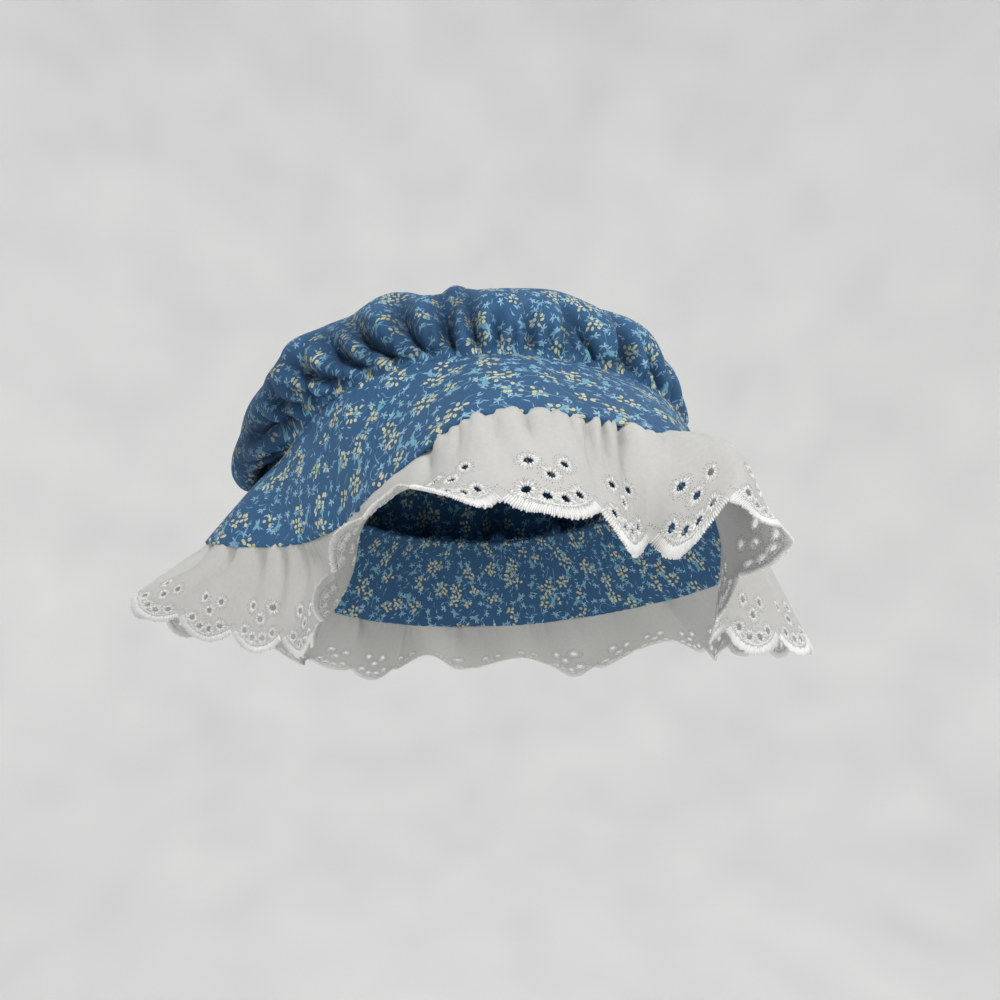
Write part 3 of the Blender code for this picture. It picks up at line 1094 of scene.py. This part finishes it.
GROUND = (0.036, 0.116, 0.240, 1.0)
GROUND_DEEP = (0.028, 0.094, 0.205, 1.0)
SPRIG = (0.22, 0.43, 0.58, 1.0)
PALE = (0.32, 0.54, 0.66, 1.0)
TEAL = (0.15, 0.40, 0.49, 1.0)
CREAM = (0.68, 0.69, 0.50, 1.0)
YELLOW = (0.52, 0.55, 0.32, 1.0)
OUTLINE = (0.020, 0.050, 0.105, 1.0)
# Colour of the painted shade in the crown's deep folds
SHADE = (0.004, 0.024, 0.066, 1.0)

# Cells that hold one motif each. Columns: size mm, randomness, offset, bend of the motif
LEAF_CELLS = (4.6, 0.95, 87.0, 0.16)
SPRIG_CELLS = (6.6, 0.85, 41.0, 0.09)
TEAL_CELLS = (19.0, 0.85, 77.0, 0.07)

# Cells of the petals and of their clusters. Columns: size mm, randomness, offset
PETAL_CELLS = (2.6, 0.62, 13.0)
CLUSTER_CELLS = (15.0, 0.85, 29.0)

# Shares of the cells left empty
LEAVES_LEFT_OUT = 0.45
SPRIGS_LEFT_OUT = 0.34
PETALS_LEFT_OUT = 0.12

# Leaves of a sprig and side leaves of a teal leaf.
# Columns: turn from the stem, middle, half length, half width
SPRIG_LEAVES = (
    (0.0, 1.5, 1.4, 0.46),
    (0.85, 1.15, 1.15, 0.40),
    (-0.85, 1.15, 1.15, 0.40),
    (2.4, 1.3, 1.0, 0.34),
)
TEAL_LEAVES = (
    (1.0, 1.5, 1.9, 0.65),
    (-2.3, 1.3, 1.5, 0.5),
)

# Painted shade: folds of the crown darken from this depth on, and fully over this much more
SHADE_FROM = 1.8
SHADE_RANGE = 8.0

PRINT_WEAVE = 0.55
LACE_WEAVE = 0.5


def print_cotton(name):
    """Blue cotton with small clusters of cream florets, light-blue sprigs and teal leaves."""
    g = Graph(name)
    place = g.flat_place()
    ground = g.mix(g.noise(place, 30.0), GROUND_DEEP, GROUND)

    # Short thin stems
    vine = g.math("ABSOLUTE", g.math("SUBTRACT", g.noise(place, 9.0, 0.0), 0.5))
    vine = g.math("LESS_THAN", vine, 0.010)
    vine = g.math("MULTIPLY", vine, g.math("GREATER_THAN", g.noise(place, 5.0, 0.0), 0.52))
    colour = g.mix(g.math("MULTIPLY", vine, 0.7), ground, SPRIG)

    # Single small leaves
    _, x, y, pick = g.motif(place, *LEAF_CELLS)
    leaf = g.math("MULTIPLY", g.ellipse(x, y, 0.0, 1.35, 0.34),
                  g.math("GREATER_THAN", pick[1], LEAVES_LEFT_OUT))
    colour = g.mix(leaf, colour, g.mix(pick[2], SPRIG, PALE))

    # Sprigs: a stem with leaves
    _, x, y, pick = g.motif(place, *SPRIG_CELLS)
    bent = g.node("CombineXYZ", {"X": x, "Y": y}).outputs[0]
    sprig = g.add_leaves(g.ellipse(x, y, -0.3, 2.5, 0.20), bent, SPRIG_LEAVES)
    kept = g.math("GREATER_THAN", pick[1], SPRIGS_LEFT_OUT)
    tone = g.mix(pick[2], SPRIG, PALE)
    colour = g.mix(g.math("MULTIPLY", sprig, kept), colour, tone)

    # Larger teal leaves
    turned, x, y, pick = g.motif(place, *TEAL_CELLS)
    teal = g.add_leaves(g.ellipse(x, y, 0.0, 3.3, 0.95), turned, TEAL_LEAVES)
    colour = g.mix(teal, colour, g.mix(pick[2], TEAL, SPRIG))

    # Clusters of petals: one shows where it is near the middle of a cluster, and points away
    local, middle, chance = g.cells(place, *PETAL_CELLS)
    pick = g.node("SeparateColor", {"Color": chance})
    _, cluster, luck = g.cells(middle, *CLUSTER_CELLS)
    near = g.vector("DISTANCE", middle, cluster)
    luck = g.node("SeparateColor", {"Color": luck}).outputs[1]
    size = g.math("MULTIPLY_ADD", luck, 2.4, 3.0)
    shown = g.math("LESS_THAN", near, size)
    shown = g.math("MULTIPLY", shown, g.math("GREATER_THAN", pick.outputs[1], PETALS_LEFT_OUT))
    away_x, away_y = g.split(g.vector("SUBTRACT", middle, cluster))
    turn = g.math("SUBTRACT", g.math("SUBTRACT", pick.outputs[0], 0.5),
                  g.math("ARCTAN2", away_y, away_x))
    x, y = g.split(g.turned(local, turn))
    rim = g.math("MULTIPLY", g.ellipse(x, y, 0.0, 1.42, 1.02, 4.0), shown)
    colour = g.mix(g.math("MULTIPLY", rim, 0.75), colour, OUTLINE)
    petals = g.math("MULTIPLY", g.ellipse(x, y, 0.0, 1.20, 0.80, 3.0), shown)
    colour = g.mix(petals, colour, g.mix(pick.outputs[2], CREAM, YELLOW))
    vein = g.math("MULTIPLY", g.ellipse(x, y, -0.1, 0.55, 0.11, 3.0), shown)
    colour = g.mix(g.math("MULTIPLY", vein, 0.4), colour, OUTLINE)

    # The yarns take the dye a little unevenly, and painted shade darkens the colour in deep folds,
    # where little light gets out
    grain = g.noise(place, 0.8, 1.0)
    colour = g.mix(g.math("MULTIPLY", grain, 0.20), colour, OUTLINE)
    crease = g.node("Attribute", attribute_name="crease").outputs["Fac"]
    deep = g.math("DIVIDE", g.math("SUBTRACT", crease, SHADE_FROM), SHADE_RANGE, clamp=True)
    colour = g.mix(g.math("MULTIPLY", g.math("SQRT", deep), 0.86), colour, SHADE)
    weave = g.weave(place, PRINT_WEAVE)
    normal = g.bump(weave, 0.35, 0.0001)
    normal = g.bump(g.noise(place, 8.0, 1.5), 0.5, 0.0010, normal)
    roughness = g.math("MULTIPLY_ADD", g.noise(place, 9.0), 0.14, 0.62)
    return g.finish(colour, roughness, normal, Sheen_Weight=0.03, Sheen_Roughness=0.45,
                    Specular_IOR_Level=0.22)


LACE_WHITE = (0.71, 0.705, 0.68, 1.0)
LACE_WARM = (0.56, 0.55, 0.525, 1.0)
NEEDLE_HOLE = (0.13, 0.125, 0.12, 1.0)

# Needle holes: radius and half width of the rings round the eyelets, distance from the cut edge
# and half width of the row along the hem, spacing and radius of the holes
RING_RADIUS = 3.5
RING_HALF = 0.75
BAND_INSIDE = 5.0
BAND_HALF = 0.7
HOLE_CELL = 0.9
HOLE_RADIUS = 0.17

THREAD_DARK = (0.76, 0.76, 0.75, 1.0)
THREAD_LIGHT = (0.94, 0.94, 0.93, 1.0)


def lace_cotton(name):
    """White cotton lawn, with rings and rows of needle holes round the embroidery."""
    g = Graph(name)
    place = g.flat_place()
    mottle = g.math("MULTIPLY_ADD", g.noise(place, 1.6, 3.0), 0.7,
                    g.math("MULTIPLY", g.noise(place, 22.0), 0.3))
    colour = g.mix(mottle, LACE_WARM, LACE_WHITE)
    x, w = g.split(place)
    x = g.math("SUBTRACT", g.math("FLOORED_MODULO", x, PITCH), PITCH / 2.0)
    local = g.node("CombineXYZ", {"X": x, "Y": w}).outputs[0]
    nearest = None
    for across, down in EYELETS:
        far = g.vector("DISTANCE", local, (across, down, 0.0))
        nearest = far if nearest is None else g.math("MINIMUM", nearest, far)
    off_ring = g.math("ABSOLUTE", g.math("SUBTRACT", nearest, RING_RADIUS))
    ring = g.math("LESS_THAN", off_ring, RING_HALF)
    half = PITCH / 2.0
    edge = g.math("MULTIPLY", g.math("MULTIPLY", x, x), SCALLOP_DEPTH / half**2)
    inside = g.math("SUBTRACT", g.math("SUBTRACT", LACE_WIDTH, edge), w)
    off_band = g.math("ABSOLUTE", g.math("SUBTRACT", inside, BAND_INSIDE))
    band = g.math("LESS_THAN", off_band, BAND_HALF)
    dots = g.node("TexVoronoi", {"Vector": place, "Scale": 1.0 / HOLE_CELL, "Randomness": 0.8},
                  voronoi_dimensions="2D")
    from_hole = g.math("MULTIPLY", dots.outputs["Distance"], HOLE_CELL)
    pricks = g.math("LESS_THAN", from_hole, HOLE_RADIUS)
    holes = g.math("MULTIPLY", g.math("MAXIMUM", ring, band), pricks)
    colour = g.mix(g.math("MULTIPLY", holes, 0.8), colour, NEEDLE_HOLE)
    weave = g.weave(place, LACE_WEAVE)
    normal = g.bump(weave, 0.7, 0.00015)
    normal = g.bump(g.math("SUBTRACT", 1.0, holes), 0.8, 0.0003, normal)
    normal = g.bump(g.noise(place, 1.4, 1.0), 0.35, 0.0003, normal)
    normal = g.bump(g.noise(place, 9.0, 1.5), 0.5, 0.0010, normal)
    roughness = g.math("MULTIPLY_ADD", g.noise(place, 7.0), 0.12, 0.62)
    return g.finish(colour, roughness, normal, Sheen_Weight=0.1, Sheen_Roughness=0.5)


def satin_thread(name):
    """Glossy white embroidery thread."""
    g = Graph(name)
    place = g.flat_place()
    colour = g.mix(g.noise(place, 1.3, 1.0), THREAD_DARK, THREAD_LIGHT)
    normal = g.bump(g.noise(place, 0.35, 2.0), 0.5, 0.0002)
    roughness = g.math("MULTIPLY_ADD", g.noise(place, 2.0), 0.2, 0.26)
    return g.finish(colour, roughness, normal, Specular_IOR_Level=0.7, Sheen_Weight=0.05)


# Stage, lights and camera

FLOOR = -1500.0
SWEEP_RADIUS = 1800.0
SWEEP_CURVE = 900.0
SWEEP_SIDES = 96
SWEEP_HEIGHT = 2600.0
PAPER_DARK = (0.78, 0.78, 0.775, 1.0)
PAPER_LIGHT = (0.94, 0.94, 0.93, 1.0)
PAPER_GLOW = 0.11

# Soft lights aimed at the middle of the bonnet, in metres and watts.
# Columns: name, place, diameter, power, colour
LIGHT_TARGET = (0.0, 0.0, -0.09)
LIGHTS = (
    ("key", (0.50, -0.60, 1.15), 0.36, 13.5, (1.0, 1.0, 0.985)),
    ("left", (-0.75, -1.0, -0.05), 0.4, 3.6, (1.0, 1.0, 1.0)),
    ("back", (0.8, 1.0, 0.8), 0.8, 2.5, (1.0, 1.0, 1.0)),
)
ROOM_COLOUR = (0.86, 0.87, 0.89, 1.0)
ROOM_LIGHT = 0.50

# Camera, in metres, degrees and, for its lens and sensor, millimetres
CAMERA_PLACE = (0.0, -0.355, -0.02)
CAMERA_PITCH_DEG = 79.0
CAMERA_LENS = 27.04
CAMERA_SENSOR = 36.0


def stage_material():
    g = Graph("stage_paper")
    place = g.node("TexCoord").outputs["Object"]
    tint = g.mix(g.noise(place, 0.25, 1.0), PAPER_DARK, PAPER_LIGHT)
    g.put(g.shader.inputs["Emission Color"], tint)
    return g.finish(tint, 0.9, Emission_Strength=PAPER_GLOW, Specular_IOR_Level=0.0)


def make_stage():
    """A pale floor that curves up into a wall all round."""
    profile = [(SWEEP_RADIUS * s, FLOOR) for s in (0.0, 0.3, 0.7, 1.0)]
    for step in range(1, 13):
        angle = math.radians(90.0 * step / 12)
        profile.append((SWEEP_RADIUS + SWEEP_CURVE * math.sin(angle),
                        FLOOR + SWEEP_CURVE * (1.0 - math.cos(angle))))
    profile.append((profile[-1][0], profile[-1][1] + SWEEP_HEIGHT))
    verts = []
    for radius, height in profile:
        for side in range(SWEEP_SIDES):
            angle = math.tau * side / SWEEP_SIDES
            verts.append((radius * math.cos(angle), radius * math.sin(angle), height))
    faces, _ = grid_faces(len(profile), SWEEP_SIDES)
    mesh = bpy.data.meshes.new("stage_sweep")
    mesh.from_pydata((np.array(verts) * MM).tolist(), [], faces.tolist())
    mesh.shade_smooth()
    mesh.materials.append(stage_material())
    stage = bpy.data.objects.new("stage_sweep", mesh)
    bpy.context.scene.collection.objects.link(stage)


def make_lights():
    for name, place, size, power, colour in LIGHTS:
        light = bpy.data.lights.new(name, "AREA")
        light.shape = "DISK"
        light.size = size
        light.energy = power
        light.color = colour
        lamp = bpy.data.objects.new(name, light)
        lamp.location = place
        aim = Vector(LIGHT_TARGET) - Vector(place)
        lamp.rotation_euler = aim.to_track_quat("-Z", "Y").to_euler()
        bpy.context.scene.collection.objects.link(lamp)
    world = bpy.data.worlds.new("soft_room")
    world.use_nodes = True
    background = world.node_tree.nodes["Background"]
    background.inputs["Color"].default_value = ROOM_COLOUR
    background.inputs["Strength"].default_value = ROOM_LIGHT
    bpy.context.scene.world = world


def make_camera():
    camera = bpy.data.cameras.new("photo_camera")
    camera.lens = CAMERA_LENS
    camera.sensor_width = CAMERA_SENSOR
    camera.clip_start = 0.01
    camera.clip_end = 20.0
    holder = bpy.data.objects.new("photo_camera", camera)
    holder.location = CAMERA_PLACE
    holder.rotation_euler = (math.radians(CAMERA_PITCH_DEG), 0.0, 0.0)
    bpy.context.scene.collection.objects.link(holder)
    bpy.context.scene.camera = holder


def main():
    make_camera()
    make_stage()
    make_lights()
    bpy.context.scene.view_settings.view_transform = "Standard"

    cotton = print_cotton("blue_floral_cotton")
    crown = make_crown(cotton)
    brim = make_brim(cotton)
    ribbon = Ribbon()
    lace = make_lace(ribbon, lace_cotton("white_lawn"))
    thread = satin_thread("satin_thread")
    hem = make_hem_satin(ribbon, thread)
    rings = make_eyelet_satin(ribbon, thread)

    for piece, node, slot in ((crown, "crown", "crown_cloth"), (brim, "brim", "brim_cloth"),
                              (lace, "lace_ruffle", "eyelet_lace")):
        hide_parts(node)
    for piece in (crown, brim, lace, hem, rings):
        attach(piece, "root")

    cut_area = HEM_LENGTH * (LACE_WIDTH - SCALLOP_DEPTH / 3.0)
    cut_area -= SCALLOP_COUNT * len(EYELETS) * math.pi * EYELET_RADIUS**2


main()
